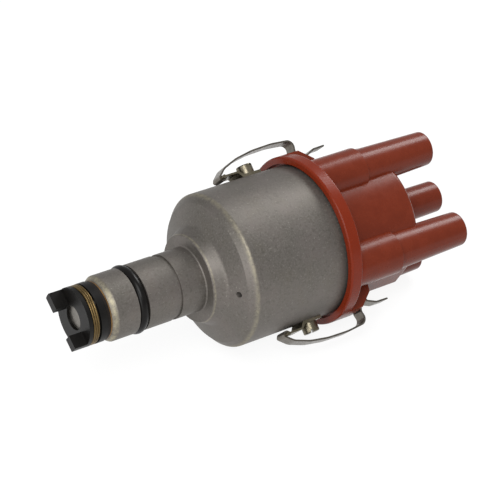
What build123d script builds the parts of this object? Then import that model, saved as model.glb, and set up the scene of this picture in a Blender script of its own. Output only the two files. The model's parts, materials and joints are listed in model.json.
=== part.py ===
from build123d import *
import os
from math import atan2, cos, degrees, hypot, radians, sin

# Ignition distributor, in millimetres.
# X runs along the shaft, from the drive dog towards the cap. Radii are taken from the X axis.
# Every x below is measured from the front face of the cap's lip, where the bowl disappears
# into the cap. The finished pieces are then moved so that the origin lies on the shank's pilot.

# ---- fits ----
press_fit = 0.02          # a pressed or moulded-in piece, on the radius
running_fit = 0.03        # a turning or sliding piece, on the radius
slip_gap = 0.3            # pieces that pass each other
hand_fit = 0.2            # pieces pushed together by hand

# ---- shank ----
shank_r = 13.45
shank_end_x = -97.6
shank_end_r = 12.0
shank_chamfer = 2.3
shank_top_x = -54.7
shank_root_round = 0.6
pilot_x = -90.5
ring_section_r = 2.0
ring_proud = 0.65
ring_x = -83.45
ring_groove_width = 4.5
notch_x = -67.35
notch_width = 2.7
notch_depth = 0.65

# ---- bowl ----
boss_face_r = 18.1
boss_root_r = 20.5
boss_root_x = -49.6
boss_edge_round = 0.4
boss_root_round = 2.5
bottom_edge_r = 29.2
bottom_edge_x = -45.8
bottom_edge_round = 0.5
bowl_r = 32.15
bowl_start_x = -42.9
bowl_start_round = 1.5
bowl_top_x = 2.6
bowl_rim_round = 0.5
bowl_inner_round = 2.0
bowl_wall = 2.65
lower_wall = 3.85
bowl_floor_x = -43.0
plate_ledge_x = -17.6
drain_hole_r = 1.2
drain_hole_radius = 25.2
drain_hole_angle = 81.0

# ---- bushes and shaft ----
bush_r = 8.0
shaft_r = 5.0
lower_bush_length = 26.0
upper_bush_length = 16.0
shaft_end_x = -106.7
spindle_r = 4.0
spindle_top_x = 0.5
circlip_x = -0.8
circlip_thickness = 0.7
circlip_depth = 0.65
circlip_r = 4.75

# ---- drive dog, its pin and retaining coil ----
dog_angle = -54.0
dog_r = 12.2
dog_face_x = -107.9
dog_back_x = -99.5
coil_start_x = -106.2
coil_wire_r = 0.46
coil_turns = 4
coil_pitch = 0.9
lug_height = 5.6
lug_width = 3.8
lug_offset = 0.8
long_lug = 7.0
short_lug = 5.7
dog_pin_r = 2.0
brass_washer_thickness = 0.5
fibre_washer_thickness = 1.2
washer_r = 11.9
end_play = 0.1

# ---- centrifugal advance ----
thrust_washer_thickness = 0.8
thrust_washer_r = 9.5
advance_plate_thickness = 1.8
advance_plate_r = 24.0
weight_thickness = 4.0
weight_pivot_radius = 17.0
weight_pin_r = 2.0
weight_eye_r = 4.0
weight_inner_r = 9.5
weight_outer_r = 21.5
weight_start_angle = 20.0
weight_end_angle = 140.0
drive_pin_r = 1.5
drive_pin_arm = 7.0
drive_pin_travel = 0.7
foot_r = 15.0
foot_thickness = 2.0
spring_post_r = 1.1
spring_post_radius = 22.0
spring_post_angle = -18.0
foot_post_radius = 11.5
foot_post_angle = -75.0
advance_spring_r = 1.4
advance_wire_r = 0.3
spring_lift = 1.7

# ---- breaker cam ----
cam_tube_r = 6.3
cam_bottom_x = -14.5
cam_top_x = -6.0
cam_lobe_r = 8.0
cam_flat_r = 6.7
cam_tube_top_x = 9.0
cam_counterbore_r = 4.95
wick_bottom_x = 1.2
wick_length = 3.8

# ---- breaker plate and points ----
plate_thickness = 1.6
plate_hole_r = 9.0
ear_thickness = 2.0
ear_width = 9.0
ear_top_x = -6.5
points_base_thickness = 1.0
base_foot_side = 4.0
base_foot_end = 3.5
base_anchor_side = 9.0
base_contact_side = 6.0
base_contact_end = 3.0
base_contact_reach = 6.5
base_waist = 1.5
base_waist_start = 6.0
base_waist_end = 5.0
base_bracket_thickness = 1.2
base_bracket_half = 2.4
lock_screw_side = 3.0
lock_screw_z = 11.0
pivot_y = 13.0
pivot_z = -16.0
pivot_post_r = 1.6
pivot_post_proud = 0.8
pivot_eye_wall = 1.8
arm_bottom_x = -13.2
arm_height = 4.6
arm_thickness = 2.4
arm_swell = 1.4
arm_taper = 8.0
arm_face_y = 11.0
contact_z = 14.0
contact_end = 2.2
contact_r = 1.7
contact_gap = 0.4
contact_thickness = 0.7
heel_clearance = 0.08
heel_width = 3.4
leaf_thickness = 0.3
leaf_bulge = 3.0
anchor_y = 20.5
anchor_z = 2.0
block_side = 2.3
block_drop = 2.0
block_width = 3.6
block_length = 8.0
block_proud = 1.0
block_round = 0.8
stud_r = 1.2
stud_length = 1.6
stud_proud = 0.9
screw_head_r = 2.6
screw_head_height = 1.8
small_screw_r = 1.5

# ---- condenser ----
condenser_r = 4.6
condenser_length = 19.0
cam_side_gap = 0.2
condenser_screw_gap = 4.6
strap_thickness = 0.7
strap_width = 6.0

# ---- lead grommet ----
grommet_angle = -135.0
grommet_x = -9.0
grommet_r = 4.0
grommet_flange_r = 5.4
grommet_flange = 1.4
lead_bore_r = 1.6

# ---- cap ----
lip_x = 0.2
lip_overhang = 3.85
lip_bore_gap = 1.05
lip_edge_round = 0.8
flange_back_x = 5.7
cap_body_r = 26.3
crown_x = 42.4
crown_round = 2.0
cap_side_wall = 2.8
crown_wall = 3.5
crown_inside_round = 2.0
spigot_length = 3.8
spigot_wall = 2.4
tower_inset = 0.3
tower_base_r = 8.8
tower_tip_r = 7.25
tower_end_x = 63.6
tower_sleeve_r = 9.3
tower_sleeve_x = 27.6
tower_sleeve_round = 0.3
centre_base_r = 7.2
centre_tip_r = 6.75
centre_end_x = 72.3
tower_edge_round = 1.1
socket_r = 3.6
socket_floor = 1.6
centre_socket_floor = 4.0
shoulder_rise = 3.5
shoulder_start = -15.0
shoulder_corner = 13.0
shoulder_end = 28.0
shoulder_round = 2.0
key_width = 4.0
key_angle = 180.0

# ---- cap electrodes, centre brush ----
electrode_proud = 1.6
electrode_bottom_x = 14.0
electrode_top_x = 24.0
electrode_width = 5.0
electrode_stem_r = 2.6
brush_r = 2.0
brush_gap = 0.05
brush_length = 8.5
brush_boss_r = 5.0
brush_boss_x = 25.5
brush_spring_wire_r = 0.25
centre_stem_r = 3.0

# ---- rotor ----
rotor_bottom_x = -3.0
rotor_skirt_r = 9.6
rotor_top_x = 20.0
rotor_arm_bottom_x = 11.0
rotor_arm_width = 13.0
rotor_set_back = 0.8
rotor_gap = 0.7
contact_strip_thickness = 0.6
contact_strip_width = 6.0
tip_height = 4.0
tip_depth = 1.5
tip_tail = 4.0
resistor_r = 1.8
resistor_length = 9.0
resistor_radius = 11.5

# ---- spring clips ----
clip_angles = (-45.0, 135.0)
clip_width = 6.2
clip_thickness = 0.75
clip_pivot_x = -23.7
clip_pivot_rise = 2.35
clip_pin_r = 0.8
clip_leave_angle = 40.0
clip_curl_end = 335.0
clip_eye_path = ((2.2, 3.4), (9.2, 5.8))              # from the pin: along X, then outwards
clip_hook_path = (                                    # from the lip's back corner: the same
    (-11.7, 5.6), (-1.7, 5.9), (8.9, 4.9), (7.7, 0.0), (11.4, -7.6), (12.3, -3.2), (16.6, -1.4), (22.0, -1.25))
clip_bends = (6.0, 15.0, 22.0, 28.0, 2.8, 2.0, 0.8, 1.2, 2.5)
clip_boss_width = 17.0
clip_boss_top = 4.6
clip_boss_length = 11.7
clip_boss_fall = 6.0
clip_channel_gap = 0.5
clip_channel_depth = 7.4
clip_channel_start = 5.0
clip_channel_foot = 10.7
bracket_thickness = 0.8
bracket_width = 9.6
bracket_window_width = 6.9
bracket_end_x = -6.6
bracket_step_start_x = -15.2
bracket_step_end_x = -17.2
clip_screw_x = -10.7
clip_screw_r = 2.0
clip_screw_head_r = 3.4
clip_screw_head = 4.2
clip_screw_slot = 1.0
clip_screw_turn = 25.0
clip_screw_tail = 0.8

# ---- worked-out places ----
origin_shift = -pilot_x
ring_centre_r = shank_r + ring_proud - ring_section_r
ring_groove_r = ring_centre_r - ring_section_r
bore_r = bush_r + press_fit
bowl_bore_r = bowl_r - bowl_wall
lower_bore_r = bowl_r - lower_wall
coil_width = (coil_turns - 1) * coil_pitch + 2 * coil_wire_r
coil_end_x = coil_start_x + coil_width + 0.1
coil_r = dog_r - coil_wire_r
coil_seat_r = coil_r - coil_wire_r
dog_pin_x = (coil_start_x + coil_end_x) / 2
brass_washer_x = shank_end_x - brass_washer_thickness
fibre_washer_x = brass_washer_x - fibre_washer_thickness
advance_plate_x = bowl_floor_x + thrust_washer_thickness + end_play
advance_plate_top_x = advance_plate_x + advance_plate_thickness
weight_x = advance_plate_top_x + slip_gap
weight_top_x = weight_x + weight_thickness
foot_x = weight_top_x + slip_gap
foot_top_x = foot_x + foot_thickness
advance_spring_x = foot_top_x + spring_lift
plate_top_x = plate_ledge_x + plate_thickness
points_base_top_x = plate_top_x + points_base_thickness
spigot_r = bowl_bore_r - slip_gap
spigot_bore_r = spigot_r - spigot_wall
crown_inside_x = crown_x - crown_wall
lip_r = bowl_r + lip_overhang
lip_inner_r = bowl_r + lip_bore_gap
cap_cavity_r = cap_body_r - cap_side_wall
tower_radius = cap_body_r - tower_inset
shoulder_r = cap_body_r + shoulder_rise
electrode_face_r = cap_cavity_r - electrode_proud
rotor_blade_r = electrode_face_r - rotor_gap
rotor_tip_r = rotor_blade_r - rotor_set_back
condenser_y = -(cam_lobe_r + cam_side_gap + screw_head_r + condenser_screw_gap + condenser_r)
socket_floor_x = crown_inside_x + socket_floor
centre_socket_floor_x = crown_x + centre_socket_floor
rotor_contact_top_x = rotor_top_x + contact_strip_thickness
brush_x = rotor_contact_top_x + brush_gap
brush_top_x = brush_x + brush_length
clip_pivot_r = bowl_r + clip_pivot_rise
curl_r = clip_pin_r + running_fit + clip_thickness / 2
curl_outer_r = curl_r + clip_thickness / 2
clip_boss_top_x = flange_back_x + clip_boss_top
clip_boss_end_x = flange_back_x + clip_boss_length
clip_boss_end_r = lip_r - clip_boss_fall
clip_channel_width = clip_width + 2 * clip_channel_gap
clip_channel_floor_r = lip_r - clip_channel_depth
clip_channel_start_x = flange_back_x + clip_channel_start
clip_channel_foot_x = flange_back_x + clip_channel_foot


# ---- helpers ----
def rounded(face, rounds):
    """Round the corners of a flat face that lie nearest the given points."""
    for point, radius in rounds:
        corner = face.vertices().sort_by_distance(point)[0]
        face = fillet(corner, radius)
    return face


def turned(outline, rounds=()):
    """Turn a closed (x, radius) outline about the X axis."""
    face = rounded(make_face(Polyline(*outline, close=True)), rounds)
    return revolve(Plane.XZ * face, Axis.X)


def tube(start_x, end_x, outer_r, inner_r=0.0):
    """A round bar or tube along X."""
    ring = Circle(outer_r)
    if inner_r:
        ring = ring - Circle(inner_r)
    return slab(ring, start_x, end_x)


def slab(sketch, start_x, end_x):
    """A flat piece across the shaft, drawn in (y, z) and thick along X."""
    return extrude(Plane.YZ.offset(start_x) * sketch, amount=end_x - start_x)


def strip(face, width):
    """A piece drawn in (x, z) and thick along Y, centred on the XZ plane."""
    return extrude(Plane.XZ * face, amount=width / 2, both=True)


def block(x, y, z):
    """A box between two x, two y and two z values."""
    size = (x[1] - x[0], y[1] - y[0], z[1] - z[0])
    middle = ((x[0] + x[1]) / 2, (y[0] + y[1]) / 2, (z[0] + z[1]) / 2)
    return Pos(*middle) * Box(*size)


def around(angle, shape):
    """Turn a piece about the shaft."""
    return Rot(angle, 0, 0) * shape


def radial(x, start_r, end_r, radius):
    """A round bar that points away from the shaft, along +Z."""
    return Pos(x, 0, (start_r + end_r) / 2) * Cylinder(radius, end_r - start_r)


def polar(radius, angle):
    """The (y, z) point at a radius and an angle from +Y."""
    return radius * cos(radians(angle)), radius * sin(radians(angle))


def spring_solid(length, outer_r, wire_r):
    """The close-wound body of a small spring along X, from 0 to length."""
    turns = max(2, round(length / (1.8 * wire_r)))
    pitch = (length - 2 * wire_r) / (turns - 1)
    profile = Pos(wire_r, outer_r - wire_r) * Circle(wire_r)
    for turn in range(1, turns):
        profile += Pos(wire_r + turn * pitch, outer_r - wire_r) * Circle(wire_r)
    return revolve(Plane.XZ * profile, Axis.X)


def slotted_screw(shank_r, length, head_r, head_height, slot_width):
    """A cheese-head screw: shank along -Z from 0, head above 0."""
    head = Pos(0, 0, head_height / 2) * Cylinder(head_r, head_height)
    head = fillet(head.edges().group_by(Axis.Z)[-1], head_height * 0.12)
    shank = Pos(0, 0, -length / 2) * Cylinder(shank_r, length)
    slot = Pos(0, 0, head_height) * Box(slot_width, 3 * head_r, head_height * 0.55)
    return head + shank - slot


# ---- housing and its bearings ----
def housing():
    outline = [
        (shank_end_x, 0), (shank_end_x, shank_end_r), (shank_end_x + shank_chamfer, shank_r),
        (shank_top_x, shank_r), (shank_top_x, boss_face_r), (boss_root_x, boss_root_r),
        (bottom_edge_x, bottom_edge_r), (bowl_start_x, bowl_r), (bowl_top_x, bowl_r), (bowl_top_x, 0)]
    rounds = [
        ((shank_top_x, shank_r), shank_root_round), ((shank_top_x, boss_face_r), boss_edge_round),
        ((boss_root_x, boss_root_r), boss_root_round), ((bottom_edge_x, bottom_edge_r), bottom_edge_round),
        ((bowl_start_x, bowl_r), bowl_start_round), ((bowl_top_x, bowl_r), bowl_rim_round)]
    body = turned(outline, rounds)
    groove = tube(ring_x - ring_groove_width / 2, ring_x + ring_groove_width / 2, shank_r + 1, ring_groove_r)
    notch = tube(notch_x - notch_width / 2, notch_x + notch_width / 2, shank_r + 1, shank_r - notch_depth)
    body -= groove + notch
    body -= tube(shank_end_x, bowl_floor_x, bore_r)
    body -= turned(
        [(bowl_floor_x, 0), (bowl_floor_x, lower_bore_r), (plate_ledge_x, lower_bore_r),
         (plate_ledge_x, bowl_bore_r), (bowl_top_x, bowl_bore_r), (bowl_top_x, 0)],
        [((bowl_floor_x, lower_bore_r), bowl_inner_round)])
    for angle in clip_angles:
        body -= around(angle, radial(clip_screw_x, lower_bore_r - 1, bowl_r + 1, clip_screw_r + hand_fit / 2))
    body -= around(grommet_angle, radial(grommet_x, lower_bore_r - 1, bowl_r + 1, grommet_r))
    drain_hole = Pos(0, 0, drain_hole_radius) * tube(boss_root_x - 1, bowl_floor_x + 1, drain_hole_r)
    body -= around(drain_hole_angle, drain_hole)
    body -= around(key_angle, block((lip_x + 0.4, bowl_top_x), (-key_width / 2, key_width / 2),
                                    (bowl_bore_r - 1, bowl_r + 1)))
    return body


def o_ring():
    return revolve(Plane.XZ * (Pos(ring_x, ring_centre_r) * Circle(ring_section_r)), Axis.X)


def lower_bush():
    return tube(shank_end_x, shank_end_x + lower_bush_length, bush_r, shaft_r + running_fit)


def upper_bush():
    return tube(bowl_floor_x - upper_bush_length, bowl_floor_x, bush_r, shaft_r + running_fit)


# ---- shaft and drive dog ----
def drive_shaft():
    shaft = tube(shaft_end_x, advance_plate_x + advance_plate_thickness / 2, shaft_r)
    shaft += tube(advance_plate_x, spindle_top_x, spindle_r)
    groove_start = circlip_x - circlip_thickness / 2 - 0.05
    groove_end = circlip_x + circlip_thickness / 2 + 0.05
    shaft -= tube(groove_start, groove_end, spindle_r + 1, spindle_r - circlip_depth)
    cross_hole = Pos(dog_pin_x, 0, 0) * Cylinder(dog_pin_r + press_fit, 4 * shaft_r)
    return shaft - around(dog_angle + 90, cross_hole)


def drive_dog():
    dog = tube(dog_face_x, dog_back_x, dog_r, shaft_r + press_fit)
    dog -= tube(coil_start_x, coil_end_x, dog_r + 1, coil_seat_r)
    side = (lug_offset - lug_width / 2, lug_offset + lug_width / 2)
    lugs = block((dog_face_x - lug_height, dog_face_x), side, (dog_r - long_lug, dog_r + 1))
    lugs += block((dog_face_x - lug_height, dog_face_x), side, (-dog_r - 1, short_lug - dog_r))
    lugs = lugs & tube(dog_face_x - lug_height, dog_face_x, dog_r)
    cross_hole = Pos(dog_pin_x, 0, 0) * Cylinder(dog_pin_r + press_fit, 4 * dog_r)
    return around(dog_angle, dog + lugs) - around(dog_angle + 90, cross_hole)


def dog_pin():
    return around(dog_angle + 90, Pos(dog_pin_x, 0, 0) * Cylinder(dog_pin_r, 2 * (coil_seat_r - slip_gap)))


def dog_pin_spring():
    start = Pos(coil_start_x + 0.05, 0, 0)
    profile = Pos(coil_wire_r, coil_r) * Circle(coil_wire_r)
    for turn in range(1, coil_turns):
        profile += Pos(coil_wire_r + turn * coil_pitch, coil_r) * Circle(coil_wire_r)
    return start * revolve(Plane.XZ * profile, Axis.X)


def thrust_washer_brass():
    return tube(brass_washer_x, shank_end_x, washer_r, shaft_r + hand_fit)


def thrust_washer_fibre():
    return tube(fibre_washer_x, brass_washer_x, washer_r, shaft_r + hand_fit)


def upper_thrust_washer():
    return tube(bowl_floor_x, bowl_floor_x + thrust_washer_thickness, thrust_washer_r, shaft_r + hand_fit)


# ---- centrifugal advance ----
def advance_plate():
    plate = tube(advance_plate_x, advance_plate_top_x, advance_plate_r)
    plate -= tube(advance_plate_x, advance_plate_x + advance_plate_thickness / 2, shaft_r)
    plate -= tube(advance_plate_x, advance_plate_top_x, spindle_r)
    for turn in (0, 180):
        pin = Pos(*polar(weight_pivot_radius, 0)) * Circle(weight_pin_r)
        plate += around(turn, slab(pin, advance_plate_x, weight_top_x))
        post = Pos(*polar(spring_post_radius, spring_post_angle)) * Circle(spring_post_r)
        plate += around(turn, slab(post, advance_plate_x, advance_spring_x + advance_spring_r))
    return plate


def advance_weight(turn):
    wedge = make_face(Polyline(
        (0, 0), polar(40, weight_start_angle), polar(40, (weight_start_angle + weight_end_angle) / 2),
        polar(40, weight_end_angle), close=True))
    arc = (Circle(weight_outer_r) - Circle(weight_inner_r)) & wedge
    arc = fillet(arc.vertices(), 1.5)
    pin_radius = weight_pivot_radius - drive_pin_arm
    neck = Pos((pin_radius + weight_pivot_radius) / 2, 0) * Rectangle(drive_pin_arm, 2 * drive_pin_r + 3)
    neck += Pos(pin_radius, 0) * Circle(drive_pin_r + 1.5)
    eye = Pos(weight_pivot_radius, 0) * Circle(weight_eye_r)
    link = make_face(Polyline(
        (pin_radius + 1, 0), (weight_pivot_radius + weight_eye_r - 0.6, 0),
        polar(weight_outer_r - 1, weight_start_angle + 6), polar(weight_inner_r + 2, weight_start_angle + 10),
        close=True))
    flat = arc + neck + eye + link - Pos(weight_pivot_radius, 0) * Circle(weight_pin_r + running_fit)
    weight = slab(flat, weight_x, weight_top_x)
    weight += slab(Pos(pin_radius, 0) * Circle(drive_pin_r), weight_x, foot_top_x + slip_gap)
    return around(turn, weight)


def advance_spring(turn):
    start = polar(spring_post_radius, spring_post_angle)
    end = polar(foot_post_radius, foot_post_angle)
    length = hypot(end[0] - start[0], end[1] - start[1])
    eye = advance_spring_r - advance_wire_r
    body_length = length - 2 * (spring_post_r + advance_wire_r + eye)
    body = Pos(-body_length / 2, 0, 0) * spring_solid(body_length, advance_spring_r, advance_wire_r)
    hook_ring = Pos(spring_post_r + 2 * advance_wire_r, 0) * Circle(advance_wire_r)
    hook = revolve(Plane.XZ * hook_ring, Axis.Z)
    tail = Pos(body_length / 2 + eye / 2, 0, 0) * Rot(0, 90, 0) * Cylinder(advance_wire_r, eye + 0.6)
    cap_disc = Pos(body_length / 2 - advance_wire_r, 0, 0) * Rot(0, 90, 0) * Cylinder(
        advance_spring_r - advance_wire_r, advance_wire_r)
    half = Pos(length / 2, 0, 0) * hook + tail + cap_disc
    spring = body + half + Rot(0, 0, 180) * half
    middle = ((start[0] + end[0]) / 2, (start[1] + end[1]) / 2)
    lean = degrees(atan2(end[1] - start[1], end[0] - start[0]))
    flat = Location(Plane.YZ.offset(advance_spring_x)) * Pos(*middle) * Rot(0, 0, lean) * spring
    return around(turn, flat)


# ---- breaker cam and rotor ----
def breaker_cam():
    cam = tube(foot_x, cam_tube_top_x, cam_tube_r) + tube(foot_x, foot_top_x, foot_r)
    lobes = RectangleRounded(2 * cam_flat_r, 2 * cam_flat_r, 2.2) & Circle(cam_lobe_r)
    cam += slab(Rot(0, 0, 45) * lobes, cam_bottom_x, cam_top_x)
    for turn in (0, 180):
        pin_radius = weight_pivot_radius - drive_pin_arm
        slot = SlotOverall(2 * (drive_pin_r + slip_gap) + 2 * drive_pin_travel, 2 * (drive_pin_r + slip_gap))
        slot = Pos(pin_radius + drive_pin_travel / 2, 0) * slot
        cam -= around(turn, slab(slot, foot_x, foot_top_x))
        post = Pos(*polar(foot_post_radius, foot_post_angle)) * Circle(spring_post_r)
        cam += around(turn, slab(post, foot_x, advance_spring_x + advance_spring_r))
    cam -= tube(foot_x, cam_tube_top_x, spindle_r + running_fit)
    cam -= tube(circlip_x - circlip_thickness / 2 - slip_gap, cam_tube_top_x, cam_counterbore_r)
    return cam


def cam_circlip():
    clip = tube(circlip_x - circlip_thickness / 2, circlip_x + circlip_thickness / 2, circlip_r,
                spindle_r - circlip_depth + press_fit)
    return clip - block((circlip_x - 1, circlip_x + 1), (-1.5, 1.5), (0, circlip_r + 1))


def cam_felt_wick():
    return tube(wick_bottom_x, wick_bottom_x + wick_length, cam_counterbore_r - press_fit)


def rotor_arm():
    skirt = tube(rotor_bottom_x, rotor_top_x, rotor_skirt_r)
    arm = block((rotor_arm_bottom_x, rotor_top_x), (-rotor_arm_width / 2, rotor_arm_width / 2),
                (0, rotor_tip_r))
    arm = arm & tube(rotor_arm_bottom_x, rotor_top_x, rotor_tip_r - 0.8)
    rotor = skirt + arm
    rotor = fillet(rotor.edges().group_by(Axis.X)[-1], 0.5)
    rotor -= tube(rotor_bottom_x, cam_tube_top_x + hand_fit, cam_tube_r + running_fit)
    rotor -= rotor_contact_solid(press_fit)
    return rotor - rotor_resistor_solid(press_fit)


def rotor_contact_solid(gap):
    half = contact_strip_width / 2 + gap
    bar = block((rotor_top_x - gap, rotor_contact_top_x), (-half, half), (-tip_tail, rotor_tip_r))
    tip = block((rotor_top_x - tip_height - gap, rotor_contact_top_x), (-half, half),
                (rotor_tip_r - tip_depth - gap, electrode_face_r))
    return (bar + tip) & tube(0, rotor_contact_top_x, rotor_blade_r)


def rotor_contact():
    return rotor_contact_solid(0.0)


def rotor_resistor_solid(gap):
    start = resistor_radius - resistor_length / 2 - gap
    end = resistor_radius + resistor_length / 2 + gap
    middle_x = rotor_top_x - resistor_r
    return Pos(middle_x, 0, (start + end) / 2) * Cylinder(resistor_r - 0.02 + gap, end - start)


def rotor_resistor():
    return rotor_resistor_solid(0.0)


# ---- breaker plate, points, condenser ----
def breaker_plate():
    plate = tube(plate_ledge_x, plate_top_x, bowl_bore_r - slip_gap, plate_hole_r)
    for angle in clip_angles:
        ear = block((plate_ledge_x, ear_top_x), (-ear_width / 2, ear_width / 2),
                    (bowl_bore_r - slip_gap - ear_thickness, bowl_bore_r))
        ear = ear & tube(plate_ledge_x, ear_top_x, bowl_bore_r - slip_gap)
        plate += around(angle, ear)
        plate -= around(angle, radial(clip_screw_x, lower_bore_r - 4, bowl_r, clip_screw_r + press_fit))
    screw_holes = Pos(*lock_screw_place()) * Circle(small_screw_r + press_fit)
    screw_holes += Pos(*condenser_screw_place()) * Circle(small_screw_r + press_fit)
    return plate - slab(screw_holes, plate_ledge_x, plate_top_x)


def lock_screw_place():
    return pivot_y + lock_screw_side, lock_screw_z


def condenser_screw_place():
    return condenser_y + condenser_r + condenser_screw_gap, 0.0


def points_base():
    outline = Polyline(
        (pivot_y - base_foot_side, pivot_z - base_foot_end),
        (pivot_y + base_foot_side, pivot_z - base_foot_end), (pivot_y + base_anchor_side, anchor_z),
        (pivot_y + base_contact_side, contact_z + 1),
        (arm_face_y - base_contact_reach, contact_z + base_contact_end),
        (arm_face_y - base_contact_reach, contact_z - base_contact_end),
        (pivot_y - base_waist, contact_z - base_waist_end),
        (pivot_y - base_waist, pivot_z + base_waist_start), close=True)
    flat = fillet(make_face(outline).vertices(), 1.0)
    flat -= Pos(*lock_screw_place()) * Circle(small_screw_r + hand_fit)
    base = slab(flat, plate_top_x, points_base_top_x)
    post = Pos(pivot_y, pivot_z) * Circle(pivot_post_r)
    base += slab(post, plate_top_x, arm_bottom_x + arm_height + pivot_post_proud)
    face_y = arm_face_y - contact_thickness - contact_gap
    back_y = face_y - contact_thickness
    bracket = block((plate_top_x, arm_bottom_x + arm_height), (back_y - base_bracket_thickness, back_y),
                    (contact_z - base_bracket_half, contact_z + base_bracket_half))
    contact_x = arm_bottom_x + arm_height / 2
    contact = Pos(contact_x, face_y - contact_thickness / 2, contact_z) * Rot(90, 0, 0) * Cylinder(
        contact_r, contact_thickness)
    return base + bracket + contact


def points_arm():
    flat = Pos(pivot_y, pivot_z) * Circle(pivot_post_r + pivot_eye_wall)
    flat += make_face(Polyline(
        (arm_face_y, pivot_z + 1), (arm_face_y, contact_z + contact_end),
        (arm_face_y + arm_thickness / 2, contact_z + contact_end),
        (arm_face_y + arm_thickness, pivot_z + arm_taper),
        (arm_face_y + arm_thickness + arm_swell, pivot_z + 1), close=True))
    flat -= Pos(pivot_y, pivot_z) * Circle(pivot_post_r + running_fit)
    arm = slab(flat, arm_bottom_x, arm_bottom_x + arm_height)
    contact = Pos(arm_bottom_x + arm_height / 2, arm_face_y - contact_thickness / 2, contact_z) * Rot(
        90, 0, 0) * Cylinder(contact_r, contact_thickness)
    return arm + contact


def points_heel():
    start_y = cam_lobe_r + heel_clearance
    heel = block((arm_bottom_x, arm_bottom_x + arm_height), (start_y, arm_face_y),
                 (-heel_width / 2, heel_width / 2))
    return fillet(heel.edges().group_by(Axis.Y)[0].filter_by(Axis.X), 0.7)


def points_spring():
    start = (arm_face_y + arm_thickness * 0.68, contact_z - 1.5)
    end = (anchor_y, anchor_z)
    line = SagittaArc(start, end, leaf_bulge)
    face = offset(line, leaf_thickness / 2, side=Side.BOTH)
    face = make_face(face.edges())
    return slab(face, arm_bottom_x + 0.5, arm_bottom_x + arm_height - 0.5)


def points_lock_screw():
    screw = slotted_screw(small_screw_r, plate_thickness + points_base_thickness + 0.6, screw_head_r,
                          screw_head_height, 0.7)
    place = Location(Plane.YZ.offset(points_base_top_x))
    return place * Pos(*lock_screw_place()) * screw


def terminal_block():
    flat = Pos(anchor_y + block_side, anchor_z - block_drop) * Rectangle(block_width, block_length)
    flat = fillet(flat.vertices(), block_round)
    body = slab(flat, points_base_top_x, arm_bottom_x + arm_height + block_proud)
    stud_y = anchor_y + block_side - block_width / 2 - stud_proud + stud_length / 2
    stud = Pos(arm_bottom_x + arm_height / 2, stud_y, anchor_z - block_drop) * Rot(90, 0, 0) * Cylinder(
        stud_r, stud_length)
    return body + stud


def condenser():
    centre_x = plate_top_x + condenser_r + strap_thickness + 0.05
    can = Pos(centre_x, condenser_y, 0) * Cylinder(condenser_r, condenser_length)
    can = fillet(can.edges().filter_by(GeomType.CIRCLE), 0.8)
    strap_ring = Pos(centre_x, condenser_y) * Circle(condenser_r + strap_thickness)
    strap = extrude(strap_ring, strap_width / 2, both=True)
    foot_end_y = condenser_screw_place()[0] + screw_head_r + 0.4
    foot = block((plate_top_x, plate_top_x + strap_thickness), (condenser_y, foot_end_y),
                 (-strap_width / 2, strap_width / 2))
    hole_place = Location(Plane.YZ.offset(plate_top_x))
    hole = hole_place * Pos(*condenser_screw_place()) * Cylinder(small_screw_r + hand_fit, 4)
    return can + strap + foot - hole


def condenser_screw():
    screw = slotted_screw(small_screw_r, plate_thickness + strap_thickness + 0.6, screw_head_r,
                          screw_head_height, 0.7)
    place = Location(Plane.YZ.offset(plate_top_x + strap_thickness))
    return place * Pos(*condenser_screw_place()) * screw


def lead_grommet():
    body = radial(grommet_x, bowl_bore_r - grommet_flange, bowl_r + grommet_flange, grommet_r)
    outer = radial(grommet_x, bowl_r - 1.5, bowl_r + grommet_flange, grommet_flange_r)
    outer -= tube(grommet_x - 2 * grommet_flange_r, grommet_x + 2 * grommet_flange_r, bowl_r + 0.05)
    bore = radial(grommet_x, bowl_bore_r - 5, bowl_r + 5, lead_bore_r)
    return around(grommet_angle, body + outer - bore)


# ---- cap ----
def cap_shoulder():
    """The flat flank between the cap's side and one tower's root, as a (y, z) face."""
    start = polar(cap_body_r, 90 + shoulder_start)
    corner = polar(shoulder_r, 90 + shoulder_corner)
    end = polar(cap_body_r - 1, 90 + shoulder_end)
    inside = polar(cap_cavity_r, 90)
    return rounded(make_face(Polyline(start, corner, end, inside, close=True)), [(corner, shoulder_round)])


def cap_body():
    section = Circle(cap_body_r)
    for angle in clip_angles:
        section += Rot(0, 0, angle) * cap_shoulder()
    body = slab(section, lip_x + lip_edge_round, crown_x)
    body = fillet(body.edges().group_by(Axis.X)[-1], crown_round)
    body += turned(
        [(lip_x, 0), (lip_x, lip_r), (flange_back_x, lip_r), (flange_back_x, 0)],
        [((lip_x, lip_r), lip_edge_round), ((flange_back_x, lip_r), lip_edge_round)])
    body += tube(bowl_top_x - spigot_length, bowl_top_x, spigot_r)
    tower = turned(
        [(flange_back_x - 1, 0), (flange_back_x - 1, tower_base_r), (tower_end_x, tower_tip_r),
         (tower_end_x, 0)], [((tower_end_x, tower_tip_r), tower_edge_round)])
    tower += turned(
        [(flange_back_x - 1, 0), (flange_back_x - 1, tower_sleeve_r), (tower_sleeve_x, tower_sleeve_r),
         (tower_sleeve_x, 0)], [((tower_sleeve_x, tower_sleeve_r), tower_sleeve_round)])
    for quarter in range(4):
        body += around(90 * quarter, Pos(0, 0, tower_radius) * tower)
    body += turned(
        [(crown_x - 1, 0), (crown_x - 1, centre_base_r), (centre_end_x, centre_tip_r), (centre_end_x, 0)],
        [((centre_end_x, centre_tip_r), tower_edge_round)])
    return body


def clip_boss():
    outline = Polyline(
        (flange_back_x - 2, cap_cavity_r + 1), (flange_back_x - 2, lip_r + 1), (clip_boss_top_x, lip_r + 1),
        (clip_boss_top_x, lip_r), (clip_boss_end_x, clip_boss_end_r),
        (clip_boss_end_x + 1.2, cap_cavity_r + 1), close=True)
    boss = strip(make_face(outline), clip_boss_width)
    return boss & tube(0, clip_boss_end_x + 2, lip_r)


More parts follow.
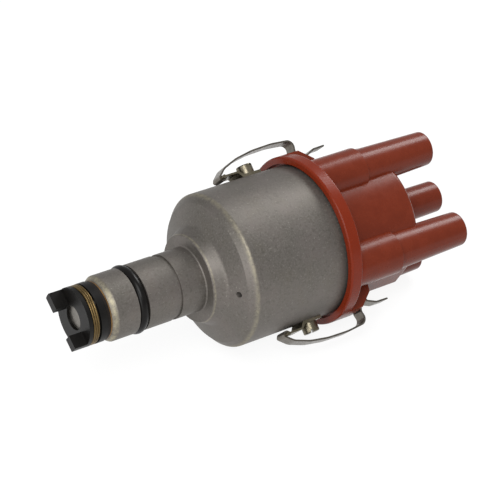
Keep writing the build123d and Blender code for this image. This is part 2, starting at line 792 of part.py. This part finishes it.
def clip_channel():
    outline = Polyline(
        (clip_channel_start_x, lip_r + 1), (clip_channel_foot_x, clip_channel_floor_r),
        (clip_boss_end_x + 3, clip_channel_floor_r), (clip_boss_end_x + 3, lip_r + 1), close=True)
    return strip(make_face(outline), clip_channel_width)


def distributor_cap():
    cap = cap_body()
    for angle in clip_angles:
        cap += around(angle, clip_boss())
        cap -= around(angle, clip_channel())
    cap -= tube(lip_x - 1, bowl_top_x, lip_inner_r, spigot_r)
    key = block((lip_x + 0.4 + hand_fit, bowl_top_x),
                (-key_width / 2 + hand_fit, key_width / 2 - hand_fit), (spigot_r - 1, lip_inner_r + 1))
    cap += around(key_angle, key)
    cap -= tube(bowl_top_x - spigot_length, bowl_top_x, spigot_bore_r)
    cap -= turned(
        [(bowl_top_x - 1, 0), (bowl_top_x - 1, cap_cavity_r), (crown_inside_x, cap_cavity_r),
         (crown_inside_x, 0)], [((crown_inside_x, cap_cavity_r), crown_inside_round)])
    cap += tube(brush_boss_x, crown_inside_x + 1, brush_boss_r)
    cap -= tube(brush_boss_x - 1, crown_inside_x, brush_r + running_fit)
    cap -= tube(crown_inside_x, centre_socket_floor_x, centre_stem_r + press_fit)
    cap -= tube(centre_socket_floor_x, centre_end_x, socket_r)
    for quarter in range(4):
        cap -= around(90 * quarter, electrode(press_fit))
        socket = Pos(0, 0, tower_radius) * tube(socket_floor_x, tower_end_x, socket_r)
        cap -= around(90 * quarter, socket)
    return cap


def electrode(gap):
    half = electrode_width / 2 + gap
    foot = block((electrode_bottom_x - gap, electrode_top_x + gap), (-half, half),
                 (electrode_face_r, tower_radius + electrode_stem_r - 0.5 + gap))
    stem = Pos(0, 0, tower_radius) * tube(electrode_top_x - 1, socket_floor_x, electrode_stem_r + gap)
    return foot + stem


def cap_electrodes():
    return Compound(children=[around(90 * quarter, electrode(0.0)) for quarter in range(4)])


def centre_terminal():
    return tube(crown_inside_x, centre_socket_floor_x, centre_stem_r)


def centre_brush():
    brush = tube(brush_x, brush_top_x, brush_r)
    return fillet(brush.edges().group_by(Axis.X)[0], 0.5)


def centre_brush_spring():
    length = crown_inside_x - brush_top_x - 2 * press_fit
    return Pos(brush_top_x + press_fit, 0, 0) * spring_solid(length, brush_r - 0.1, brush_spring_wire_r)


# ---- spring clips ----
def clip_spring():
    leave = 90 + clip_leave_angle
    curl = CenterArc((clip_pivot_x, clip_pivot_r), curl_r, leave, clip_curl_end - leave)
    points = [curl @ 0]
    points += [(clip_pivot_x + along, clip_pivot_r + out) for along, out in clip_eye_path]
    points += [(flange_back_x + along, lip_r + out) for along, out in clip_hook_path]
    path = Wire(list(curl.edges()) + list(FilletPolyline(*points, radius=list(clip_bends)).edges()))
    outline = offset(path, clip_thickness / 2, side=Side.BOTH)
    return strip(make_face(outline.edges()), clip_width)


def clip_bracket():
    half = bracket_thickness / 2
    low = bowl_r + press_fit
    outline = Polyline(
        (clip_pivot_x, clip_pivot_r - half), (bracket_step_end_x, clip_pivot_r - half),
        (bracket_step_start_x, low - bracket_thickness), (bracket_end_x, low - bracket_thickness),
        (bracket_end_x, low + bracket_thickness), (bracket_step_start_x + half, low + bracket_thickness),
        (bracket_step_end_x + half, clip_pivot_r + half), (clip_pivot_x, clip_pivot_r + half), close=True)
    bracket = strip(make_face(outline), bracket_width)
    window_end_x = clip_pivot_x + curl_outer_r + 2 * slip_gap
    bracket -= block((clip_pivot_x - bracket_thickness, window_end_x),
                     (-bracket_window_width / 2, bracket_window_width / 2), (bowl_r, clip_pivot_r + 1))
    bracket += Pos(clip_pivot_x, 0, clip_pivot_r) * Rot(90, 0, 0) * Cylinder(clip_pin_r, bracket_width)
    bracket -= tube(clip_pivot_x - curl_outer_r, bracket_end_x + 1, low)
    return bracket - radial(clip_screw_x, bowl_r - 2, bowl_r + 6, clip_screw_r + hand_fit)


def clip_screw():
    seat_r = bowl_r + press_fit + bracket_thickness
    length = seat_r - (bowl_bore_r - slip_gap - ear_thickness) + clip_screw_tail
    screw = slotted_screw(clip_screw_r, length, clip_screw_head_r, clip_screw_head, clip_screw_slot)
    return Pos(clip_screw_x, 0, seat_r) * Rot(0, 0, clip_screw_turn) * screw


# ---- write every node ----
nodes = {
    "housing": housing(), "o_ring": o_ring(), "lower_bush": lower_bush(), "upper_bush": upper_bush(),
    "drive_shaft": drive_shaft(), "drive_dog": drive_dog(), "dog_pin": dog_pin(),
    "dog_pin_spring": dog_pin_spring(), "thrust_washer_brass": thrust_washer_brass(),
    "thrust_washer_fibre": thrust_washer_fibre(), "upper_thrust_washer": upper_thrust_washer(),
    "advance_plate": advance_plate(), "advance_weight_a": advance_weight(0),
    "advance_weight_b": advance_weight(180), "advance_spring_a": advance_spring(0),
    "advance_spring_b": advance_spring(180), "breaker_cam": breaker_cam(), "cam_circlip": cam_circlip(),
    "cam_felt_wick": cam_felt_wick(), "breaker_plate": breaker_plate(), "points_base": points_base(),
    "points_arm": points_arm(), "points_heel": points_heel(), "points_spring": points_spring(),
    "points_lock_screw": points_lock_screw(), "terminal_block": terminal_block(),
    "condenser": condenser(), "condenser_screw": condenser_screw(), "lead_grommet": lead_grommet(),
    "rotor_arm": rotor_arm(), "rotor_contact": rotor_contact(), "rotor_resistor": rotor_resistor(),
    "distributor_cap": distributor_cap(), "cap_electrodes": cap_electrodes(),
    "centre_terminal": centre_terminal(), "centre_brush": centre_brush(),
    "centre_brush_spring": centre_brush_spring(),
}
for side, angle in zip("ab", clip_angles):
    nodes[f"clip_spring_{side}"] = around(angle, clip_spring())
    nodes[f"clip_bracket_{side}"] = around(angle, clip_bracket())
    nodes[f"clip_screw_{side}"] = around(angle, clip_screw())

os.makedirs("parts", exist_ok=True)
for name, shape in nodes.items():
    export_step(Pos(origin_shift, 0, 0) * shape, f"parts/{name}.step")
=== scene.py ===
import bmesh
import bpy
import json
from math import atan2, cos, hypot, pi, radians, sin
from mathutils import Matrix, Vector


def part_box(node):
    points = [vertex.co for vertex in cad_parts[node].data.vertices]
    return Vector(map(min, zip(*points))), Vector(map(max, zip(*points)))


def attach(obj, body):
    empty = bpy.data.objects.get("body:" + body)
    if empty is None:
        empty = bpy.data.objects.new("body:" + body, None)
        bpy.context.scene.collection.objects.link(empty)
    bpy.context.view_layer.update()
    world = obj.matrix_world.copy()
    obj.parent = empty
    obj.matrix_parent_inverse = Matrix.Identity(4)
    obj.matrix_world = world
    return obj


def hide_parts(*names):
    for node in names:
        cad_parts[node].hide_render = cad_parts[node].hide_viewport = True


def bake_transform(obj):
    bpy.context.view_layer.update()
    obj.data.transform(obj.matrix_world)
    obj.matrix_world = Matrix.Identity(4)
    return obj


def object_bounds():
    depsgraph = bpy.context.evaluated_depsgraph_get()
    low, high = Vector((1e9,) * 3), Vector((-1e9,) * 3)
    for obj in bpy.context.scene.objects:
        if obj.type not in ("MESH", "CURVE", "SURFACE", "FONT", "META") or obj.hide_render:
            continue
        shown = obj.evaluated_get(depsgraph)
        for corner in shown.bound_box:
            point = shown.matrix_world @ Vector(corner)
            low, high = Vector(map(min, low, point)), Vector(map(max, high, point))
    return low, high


# Ignition distributor, dressed. Metres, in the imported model's frame: X runs along the shaft
# from the drive dog to the cap, and Z points at one outer lead tower.

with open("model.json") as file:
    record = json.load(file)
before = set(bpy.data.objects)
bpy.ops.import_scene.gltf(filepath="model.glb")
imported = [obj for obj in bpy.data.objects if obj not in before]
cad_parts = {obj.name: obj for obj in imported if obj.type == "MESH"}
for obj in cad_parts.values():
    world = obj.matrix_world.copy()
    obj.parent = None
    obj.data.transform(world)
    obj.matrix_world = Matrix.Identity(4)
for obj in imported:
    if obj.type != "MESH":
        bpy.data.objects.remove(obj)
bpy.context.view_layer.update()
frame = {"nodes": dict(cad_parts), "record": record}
nodes = frame["nodes"]
MM = 0.001
scene = bpy.context.scene

# places along the shaft that a finish follows, in millimetres
shank_chamfer_mm = -6.0
shank_end_mm = 35.6
boss_edge_mm = 36.4
bowl_corner_mm = 47.4
lip_end_mm = 96.2
lip_fade_mm = 3.0

# wires of the coils, and how many turns each has
retaining_wire_mm = 0.46
retaining_turns = 2.93
brush_wire_mm = 0.25
brush_turns = 6.0
advance_wire_mm = 0.3
advance_turns = 14.0
advance_coil_r_mm = 1.1
advance_hook_r_mm = 1.4

# where an advance spring hooks on: a post on the advance plate and one on the cam's foot
post_r_mm = 22.0
post_turn = radians(-18)
foot_r_mm = 11.5
foot_turn = radians(-75)

# camera and studio, in metres, and the lens in millimetres
camera_place = Vector((-0.35134, -0.55575, 0.43445))
camera_right = Vector((0.81508, -0.57767, 0.04405))
camera_up = Vector((0.27428, 0.45175, 0.84894))
camera_lens = 145.3
lamp_aim = Vector((0.09, 0.0, 0.0))
floor_half = 4.0
room_light = 0.5
paper_glow = 0.9


def make_camera():
    data = bpy.data.cameras.new("camera")
    data.lens = camera_lens
    data.sensor_width = 36.0
    data.clip_start = 0.05
    camera = bpy.data.objects.new("camera", data)
    right = camera_right.normalized()
    back = right.cross(camera_up).normalized()
    up = back.cross(right)
    turn = Matrix((right, up, back)).transposed().to_4x4()
    camera.matrix_world = Matrix.Translation(camera_place) @ turn
    scene.collection.objects.link(camera)
    scene.camera = camera


# ---- materials ----
# A Mix node that mixes colours takes them at inputs 6 and 7 and gives the mix at output 2,
# because its sockets share their names.
def linear(hex_colour):
    """An sRGB hex value as linear light."""
    channels = []
    for start in (1, 3, 5):
        value = int(hex_colour[start:start + 2], 16) / 255
        channels.append(value / 12.92 if value <= 0.04045 else ((value + 0.055) / 1.055) ** 2.4)
    return (*channels, 1.0)


def add(tree, kind, inputs=(), stops=(), **settings):
    """Add a node with its settings and colour stops, then set or link its inputs.

    An input takes a plain value, a socket, or a node, which stands for its first output.
    """
    node = tree.nodes.new(kind)
    for name, value in settings.items():
        setattr(node, name, value)
    for key, value in dict(inputs).items():
        if isinstance(value, bpy.types.Node):
            value = value.outputs[0]
        if isinstance(value, bpy.types.NodeSocket):
            tree.links.new(value, node.inputs[key])
        else:
            node.inputs[key].default_value = value
    for index, (position, colour) in enumerate(stops):
        elements = node.color_ramp.elements
        element = elements[index] if index < len(elements) else elements.new(1.0)
        element.position = position
        element.color = linear(colour)
    return node


def material(name):
    """A new material, its node tree, its shader, and the place of each point on the object."""
    made = bpy.data.materials.new(name)
    made.use_nodes = True
    tree = made.node_tree
    tree.nodes.clear()
    shader = add(tree, "ShaderNodeBsdfPrincipled")
    add(tree, "ShaderNodeOutputMaterial", {"Surface": shader})
    place = add(tree, "ShaderNodeTexCoord").outputs["Object"]
    return made, tree, shader, place


def wear_and_highlight_band(tree, along, centre_mm, half_width_mm, most):
    """How far the skin is lightened near a place along X, for worn and machined metal and for painted
    highlight: most there, and none half_width_mm away.
    """
    offset = add(tree, "ShaderNodeMath", {0: along, 1: centre_mm * MM}, operation="SUBTRACT")
    distance = add(tree, "ShaderNodeMath", {0: offset}, operation="ABSOLUTE")
    return add(tree, "ShaderNodeMapRange",
               {"Value": distance, "From Min": 0.0, "From Max": half_width_mm * MM,
                "To Min": most, "To Max": 0.0}, interpolation_type="SMOOTHSTEP")


def cast_aluminium():
    # Die-cast aluminium, tumbled and left bare: a dull warm grey, finely speckled, stained in soft clouds,
    # turned in fine rings on the shank, and lightened in pale bands where it turns and steps: part wear and
    # part painted highlight at the bowl's corner and the boss's edge, machined bright at the shank's
    # chamfer.
    # The real speckle is finer than 0.7 mm, and is drawn that coarse so that it shows.
    made, tree, shader, place = material("cast_aluminium")
    along = add(tree, "ShaderNodeSeparateXYZ", {0: place}).outputs["X"]
    cloud, stain, patch, speck, grain = (
        add(tree, "ShaderNodeTexNoise",
            {"Vector": place, "Scale": 1 / (size_mm * MM), "Detail": detail, "Roughness": rough})
        for size_mm, detail, rough in ((16.0, 4.0, 0.6), (7.0, 3.0, 0.6), (2.2, 3.0, 0.7),
                                       (1.1, 2.0, 0.5), (0.7, 3.0, 0.7)))

    base = add(tree, "ShaderNodeValToRGB", {"Fac": cloud},
               stops=((0.32, "#67635d"), (0.5, "#6d6863"), (0.68, "#746d69"))).outputs["Color"]
    for pattern, stops, tint in (
            (stain, ((0.5, "#000000"), (0.72, "#606060")), "#6e654f"),
            (grain, ((0.42, "#000000"), (0.6, "#c8c8c8")), "#7b7771"),
            (speck, ((0.34, "#909090"), (0.44, "#000000")), "#514e48"),
            (grain, ((0.62, "#000000"), (0.72, "#b0b0b0")), "#b4aea6")):
        amount = add(tree, "ShaderNodeValToRGB", {"Fac": pattern}, stops=stops)
        base = add(tree, "ShaderNodeMix", {0: amount, 6: base, 7: linear(tint)},
                   data_type="RGBA").outputs[2]

    patchy = add(tree, "ShaderNodeMapRange",
                 {"Value": patch, "From Min": 0.35, "From Max": 0.65, "To Min": 0.25, "To Max": 1.0})
    # Pale bands along X: part wear and part painted highlight at the bowl's corner and the boss's edge,
    # bright machined metal at the shank's chamfer.
    for centre_mm, half_width_mm, most in ((bowl_corner_mm, 1.3, 0.28), (boss_edge_mm, 0.6, 0.3),
                                           (shank_chamfer_mm, 1.6, 0.55)):
        wear_and_highlight = wear_and_highlight_band(tree, along, centre_mm, half_width_mm, most)
        patchy_wear_and_highlight = add(tree, "ShaderNodeMath", {0: wear_and_highlight, 1: patchy}, operation="MULTIPLY")
        base = add(tree, "ShaderNodeMix", {0: patchy_wear_and_highlight, 6: base, 7: linear("#c9c0a0")},
                   data_type="RGBA").outputs[2]

    ring_place = add(tree, "ShaderNodeCombineXYZ", {"X": along})
    rings = add(tree, "ShaderNodeTexNoise",
                {"Vector": ring_place, "Scale": 1 / (0.5 * MM), "Detail": 1.0, "Roughness": 0.5})
    on_shank = add(tree, "ShaderNodeMath", {0: along, 1: shank_end_mm * MM}, operation="LESS_THAN")
    ring_share = add(tree, "ShaderNodeMath", {0: on_shank, 1: 0.7}, operation="MULTIPLY")
    skin = add(tree, "ShaderNodeMix", {0: 0.35, 6: grain, 7: speck}, data_type="RGBA").outputs[2]
    skin = add(tree, "ShaderNodeMix", {0: ring_share, 6: skin, 7: rings}, data_type="RGBA").outputs[2]
    dents = add(tree, "ShaderNodeBump", {"Height": skin, "Distance": 0.06 * MM, "Strength": 0.5})
    dull = add(tree, "ShaderNodeMapRange",
               {"Value": grain, "From Min": 0.3, "From Max": 0.7, "To Min": 0.44, "To Max": 0.62})

    shader.inputs["Metallic"].default_value = 0.75
    tree.links.new(base, shader.inputs["Base Color"])
    tree.links.new(dull.outputs[0], shader.inputs["Roughness"])
    tree.links.new(dents.outputs[0], shader.inputs["Normal"])
    return made


def moulded_cap():
    # Phenolic moulding compound: red-brown and satin, faintly mottled by its filler, with the
    # lip a little more orange than the crown.
    made, tree, shader, place = material("moulded_phenolic")
    along = add(tree, "ShaderNodeSeparateXYZ", {0: place}).outputs["X"]
    mottle, fine = (
        add(tree, "ShaderNodeTexNoise",
            {"Vector": place, "Scale": 1 / (size_mm * MM), "Detail": detail, "Roughness": rough})
        for size_mm, detail, rough in ((5.0, 3.0, 0.6), (0.35, 2.0, 0.5)))

    body = add(tree, "ShaderNodeValToRGB", {"Fac": mottle},
               stops=((0.3, "#6a2714"), (0.55, "#6f2a16"), (0.8, "#742d19")))
    on_lip = add(tree, "ShaderNodeMapRange",
                 {"Value": along, "From Min": lip_end_mm * MM, "From Max": (lip_end_mm + lip_fade_mm) * MM,
                  "To Min": 0.6, "To Max": 0.0})
    base = add(tree, "ShaderNodeMix", {0: on_lip, 6: body, 7: linear("#7c2203")}, data_type="RGBA")
    sheen = add(tree, "ShaderNodeMapRange",
                {"Value": mottle, "From Min": 0.3, "From Max": 0.8, "To Min": 0.24, "To Max": 0.32})
    dents = add(tree, "ShaderNodeBump", {"Height": fine, "Distance": 0.012 * MM, "Strength": 0.25})

    shader.inputs["Specular IOR Level"].default_value = 0.2
    tree.links.new(base.outputs[2], shader.inputs["Base Color"])
    tree.links.new(sheen.outputs[0], shader.inputs["Roughness"])
    tree.links.new(dents.outputs[0], shader.inputs["Normal"])
    return made


def plain_metal(name, low, high, rough):
    # A plated, ground, drawn or sintered metal part: a colour that clouds a little between two
    # close ones, under a faintly uneven sheen that is drawn coarser than the real one to show.
    made, tree, shader, place = material(name)
    cloud = add(tree, "ShaderNodeTexNoise",
                {"Vector": place, "Scale": 1 / (4.0 * MM), "Detail": 3.0, "Roughness": 0.6})
    grain = add(tree, "ShaderNodeTexNoise",
                {"Vector": place, "Scale": 1 / (0.8 * MM), "Detail": 2.0, "Roughness": 0.5})
    base = add(tree, "ShaderNodeValToRGB", {"Fac": cloud}, stops=((0.3, low), (0.7, high)))
    sheen = add(tree, "ShaderNodeMapRange",
                {"Value": grain, "From Min": 0.3, "From Max": 0.7,
                 "To Min": rough - 0.08, "To Max": rough + 0.08})
    dents = add(tree, "ShaderNodeBump", {"Height": grain, "Distance": 0.01 * MM, "Strength": 0.3})

    shader.inputs["Metallic"].default_value = 0.9
    tree.links.new(base.outputs[0], shader.inputs["Base Color"])
    tree.links.new(sheen.outputs[0], shader.inputs["Roughness"])
    tree.links.new(dents.outputs[0], shader.inputs["Normal"])
    return made


def plain_mould(name, low, high, rough):
    # A moulded, pressed or blackened part: one even colour with a faint cloud and a matte skin.
    made, tree, shader, place = material(name)
    cloud = add(tree, "ShaderNodeTexNoise",
                {"Vector": place, "Scale": 1 / (3.0 * MM), "Detail": 3.0, "Roughness": 0.6})
    grain = add(tree, "ShaderNodeTexNoise",
                {"Vector": place, "Scale": 1 / (0.4 * MM), "Detail": 2.0, "Roughness": 0.5})
    base = add(tree, "ShaderNodeValToRGB", {"Fac": cloud}, stops=((0.3, low), (0.7, high)))
    dents = add(tree, "ShaderNodeBump", {"Height": grain, "Distance": 0.02 * MM, "Strength": 0.3})

    shader.inputs["Roughness"].default_value = rough
    shader.inputs["Specular IOR Level"].default_value = 0.2
    tree.links.new(base.outputs[0], shader.inputs["Base Color"])
    tree.links.new(dents.outputs[0], shader.inputs["Normal"])
    return made


def make_finishes():
    """Every finish, under the name of the slot that it fills."""
    return {
        # the housing casting
        "cast_aluminium": cast_aluminium(),
        # the cap moulding
        "cap_plastic": moulded_cap(),
        # moulded nitrile seal and grommet: near black with a soft sheen
        "black_rubber": plain_mould("nitrile_rubber", "#090807", "#12100f", 0.32),
        # oil-soaked sintered bushes: a dull brown bronze
        "sintered_bronze": plain_metal("sintered_bronze", "#7a5a34", "#8a6a40", 0.5),
        # ground shaft steel: a clean mid grey, fairly glossy
        "ground_steel": plain_metal("ground_steel", "#77736d", "#86827b", 0.35),
        # oil-blackened drive dog: black, with its gloss taken off
        "blackened_steel": plain_mould("blackened_steel", "#0b0a09", "#141210", 0.42),
        # yellow-passivated spring wire: dark gold
        "gilt_wire": plain_metal("passivated_wire", "#5e4d30", "#7a6642", 0.38),
        # cut sheet brass, a little tarnished
        "brass": plain_metal("sheet_brass", "#7a5c38", "#917044", 0.4),
        # pressed fibre washer and heel: almost black and dry
        "fibre": plain_mould("pressed_fibre", "#130f0c", "#1d1712", 0.6),
        # zinc-plated steel gone a little yellow
        "zinc_steel": plain_metal("zinc_plated_steel", "#676150", "#7f7868", 0.33),
        # rolled spring steel strip: grey and fairly bright
        "clip_steel": plain_metal("spring_steel", "#605b53", "#78726a", 0.3),
        # the rotor's moulding: dark brown, satin
        "rotor_plastic": plain_mould("moulded_rotor", "#2a1d17", "#33231b", 0.45),
        # pressed carbon brush: dark grey and dusty
        "carbon": plain_mould("pressed_carbon", "#1a1a1b", "#222223", 0.55),
        # oiled wool felt: a flat tan
        "felt": plain_mould("oiled_felt", "#5a4f3a", "#6e6248", 0.9),
        # poured potting resin: brown-grey, half matte
        "resin": plain_mould("potting_resin", "#3a352c", "#454036", 0.5),
    }


def dress_nodes(finishes):
    for part in frame["record"]["subparts"]:
        piece = nodes[part["node"]]
        piece.data.materials.clear()
        piece.data.materials.append(finishes[part["material_slot"]])


# ---- wound springs ----
def wound_tree(hooked):
    """A round wire wound along Z, with a ring hook past each end if hooked."""
    tree = bpy.data.node_groups.new("wound_wire", "GeometryNodeTree")
    tree.interface.new_socket("Geometry", in_out="OUTPUT", socket_type="NodeSocketGeometry")
    for name, kind in (("Radius", "Float"), ("Wire", "Float"), ("Turns", "Float"), ("Length", "Float"),
                       ("Hook", "Float"), ("Finish", "Material")):
        tree.interface.new_socket(name, in_out="INPUT", socket_type="NodeSocket" + kind)
    sizes = add(tree, "NodeGroupInput").outputs
    path = add(tree, "GeometryNodeCurveSpiral",
               {"Resolution": 36, "Rotations": sizes["Turns"], "Start Radius": sizes["Radius"],
                "End Radius": sizes["Radius"], "Height": sizes["Length"]})
    if hooked:
        lines = add(tree, "GeometryNodeJoinGeometry", {0: path})
        for end in (-1, 1):
            hook = add(tree, "GeometryNodeCurvePrimitiveCircle", {"Resolution": 28, "Radius": sizes["Hook"]})
            reach = add(tree, "ShaderNodeMath", {0: sizes["Hook"], 1: end}, operation="MULTIPLY")
            if end > 0:
                reach = add(tree, "ShaderNodeMath", {0: reach, 1: sizes["Length"]})
            spot = add(tree, "ShaderNodeCombineXYZ", {"Z": reach})
            turned = add(tree, "GeometryNodeTransform",
                         {"Geometry": hook, "Translation": spot, "Rotation": (pi / 2, 0, 0)})
            tree.links.new(turned.outputs[0], lines.inputs[0])
        path = lines
    profile = add(tree, "GeometryNodeCurvePrimitiveCircle", {"Resolution": 10, "Radius": sizes["Wire"]})
    wire = add(tree, "GeometryNodeCurveToMesh",
               {"Curve": path, "Profile Curve": profile, "Fill Caps": True})
    real = add(tree, "GeometryNodeRealizeInstances", {0: wire})
    dressed = add(tree, "GeometryNodeSetMaterial", {"Geometry": real, "Material": sizes["Finish"]})
    add(tree, "NodeGroupOutput", {0: dressed})
    return tree


def wound(name, tree, sizes, place):
    """A plain mesh object from the wound wire tree, with its place in its mesh."""
    maker = bpy.data.objects.new("maker", bpy.data.meshes.new("maker"))
    scene.collection.objects.link(maker)
    modifier = maker.modifiers.new("wound", "NODES")
    modifier.node_group = tree
    for item in tree.interface.items_tree:
        if item.in_out == "INPUT" and item.name in sizes:
            modifier[item.identifier] = sizes[item.name]
    ready = maker.evaluated_get(bpy.context.evaluated_depsgraph_get())
    mesh = bpy.data.meshes.new_from_object(ready)
    bpy.data.objects.remove(maker)
    mesh.transform(place)
    for face in mesh.polygons:
        face.use_smooth = True
    piece = bpy.data.objects.new(name, mesh)
    scene.collection.objects.link(piece)
    return piece


def wound_to_fill(name, tree, node, wire_mm, turns, finish):
    """A coil along X that fills the box of the node that it stands for."""
    low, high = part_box(node)
    wire = wire_mm * MM
    sizes = {"Radius": high[1] - wire, "Wire": wire, "Turns": turns,
             "Length": high[0] - low[0] - 2 * wire, "Finish": finish}
    place = Matrix.Translation((low[0] + wire, 0, 0)) @ Matrix.Rotation(pi / 2, 4, "Y")
    return wound(name, tree, sizes, place)


def stands_for(node):
    """The node is hidden, so that the piece shows in its place."""
    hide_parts(node)


def retaining_coil(plain, finishes):
    """The wire round the drive dog that keeps its pin in."""
    coil = wound_to_fill("wound_retaining_coil", plain, "dog_pin_spring",
                         retaining_wire_mm, retaining_turns, finishes["gilt_wire"])
    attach(coil, "shaft")
    stands_for("dog_pin_spring")


def brush_spring(plain, finishes):
    """The spring behind the carbon brush, wound to fill its node's box; the real one shortens as the brush
    slides in.
    """
    spring = wound_to_fill("wound_brush_spring", plain, "centre_brush_spring",
                           brush_wire_mm, brush_turns, finishes["clip_steel"])
    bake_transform(spring)
    stands_for("centre_brush_spring")


def advance_springs(hooked, finishes):
    """The two springs from the plate's posts to the cam's foot, half a turn apart."""
    wire = advance_wire_mm * MM
    hook = advance_hook_r_mm * MM
    post, foot = ((r_mm * MM * cos(turn), r_mm * MM * sin(turn))
                  for r_mm, turn in ((post_r_mm, post_turn), (foot_r_mm, foot_turn)))
    span = hypot(foot[0] - post[0], foot[1] - post[1])
    lean = atan2(foot[1] - post[1], foot[0] - post[0])
    low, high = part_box("advance_spring_a")
    level = (low[0] + high[0]) / 2
    sizes = {"Radius": advance_coil_r_mm * MM, "Wire": wire, "Turns": advance_turns,
             "Length": span - 4 * hook + 2 * wire, "Hook": hook, "Finish": finishes["clip_steel"]}
    start = Matrix.Translation((0, 0, 2 * hook - wire))
    for side, turn in (("a", 0), ("b", pi)):
        place = (Matrix.Rotation(turn, 4, "X") @ Matrix.Translation((level, post[0], post[1]))
                 @ Matrix.Rotation(lean - pi / 2, 4, "X") @ start)
        spring = wound("wound_advance_spring_" + side, hooked, sizes, place)
        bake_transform(spring)
        stands_for("advance_spring_" + side)


def wind_springs(finishes):
    plain = wound_tree(hooked=False)
    hooked = wound_tree(hooked=True)
    retaining_coil(plain, finishes)
    brush_spring(plain, finishes)
    advance_springs(hooked, finishes)


def contact_leaf():
    """The contact arm's leaf spring between the arm and its anchor: a copy of its node with its doubled
    points merged.
    """
    mesh = nodes["points_spring"].data.copy()
    work = bmesh.new()
    work.from_mesh(mesh)
    bmesh.ops.remove_doubles(work, verts=work.verts, dist=0.001 * MM)
    work.to_mesh(mesh)
    work.free()
    leaf = bpy.data.objects.new("contact_leaf_spring", mesh)
    scene.collection.objects.link(leaf)
    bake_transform(leaf)
    stands_for("points_spring")


# ---- floor and light ----
def seen_rays(tree):
    """One for a ray that shows the backdrop: straight from the camera, or by gloss or glass."""
    rays = add(tree, "ShaderNodeLightPath").outputs
    shown = add(tree, "ShaderNodeMath", {0: rays["Is Camera Ray"], 1: rays["Is Glossy Ray"]},
                operation="MAXIMUM")
    return add(tree, "ShaderNodeMath", {0: shown, 1: rays["Is Transmission Ray"]}, operation="MAXIMUM")


def floor_material():
    # White paper: lit so that it shows as white, with a faint part of it left to take the shadow.
    made = bpy.data.materials.new("white_paper")
    made.use_nodes = True
    tree = made.node_tree
    tree.nodes.clear()
    matte = add(tree, "ShaderNodeBsdfPrincipled",
                {"Base Color": linear("#c8c8c8"), "Roughness": 0.9, "Specular IOR Level": 0.0})
    paper = add(tree, "ShaderNodeBsdfDiffuse", {"Color": linear("#6a6a6a")})
    glow = add(tree, "ShaderNodeEmission", {"Color": linear("#ffffff"), "Strength": paper_glow})
    bright = add(tree, "ShaderNodeAddShader", {0: paper, 1: glow})
    chosen = add(tree, "ShaderNodeMixShader", {0: seen_rays(tree), 1: matte, 2: bright})
    add(tree, "ShaderNodeOutputMaterial", {"Surface": chosen})
    return made


def make_floor():
    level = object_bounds()[0][2]
    corners = [(x, y, level) for x, y in ((-floor_half, -floor_half), (floor_half, -floor_half),
                                          (floor_half, floor_half), (-floor_half, floor_half))]
    mesh = bpy.data.meshes.new("floor")
    mesh.from_pydata(corners, [], [(0, 1, 2, 3)])
    floor = bpy.data.objects.new("floor", mesh)
    scene.collection.objects.link(floor)
    mesh.materials.append(floor_material())


def area_lamp(name, place, size, power):
    data = bpy.data.lights.new(name, "AREA")
    data.shape = "DISK"
    data.size = size
    data.energy = power
    lamp = bpy.data.objects.new(name, data)
    lamp.location = place
    lamp.rotation_euler = (lamp_aim - Vector(place)).to_track_quat("-Z", "Y").to_euler()
    scene.collection.objects.link(lamp)


def make_world():
    # The room itself is a dim even grey; only what the camera sees past the floor is white.
    world = bpy.data.worlds.new("studio")
    scene.world = world
    world.use_nodes = True
    tree = world.node_tree
    tree.nodes.clear()
    rays = add(tree, "ShaderNodeLightPath").outputs
    ambient = add(tree, "ShaderNodeBackground", {"Color": linear("#ffffff"), "Strength": room_light})
    backdrop = add(tree, "ShaderNodeBackground", {"Color": linear("#ffffff"), "Strength": 1.0})
    chosen = add(tree, "ShaderNodeMixShader", {0: rays["Is Camera Ray"], 1: ambient, 2: backdrop})
    add(tree, "ShaderNodeOutputWorld", {"Surface": chosen})


make_camera()
finishes = make_finishes()
dress_nodes(finishes)
wind_springs(finishes)
contact_leaf()
make_world()
make_floor()
area_lamp("key", place=(-0.36, -0.48, 0.68), size=0.6, power=5.0)
area_lamp("fill", place=(-0.6, -0.3, 0.15), size=0.4, power=1.3)
area_lamp("rim", place=(0.6, 0.15, 0.5), size=0.3, power=2.4)

scene.view_settings.view_transform = "Standard"
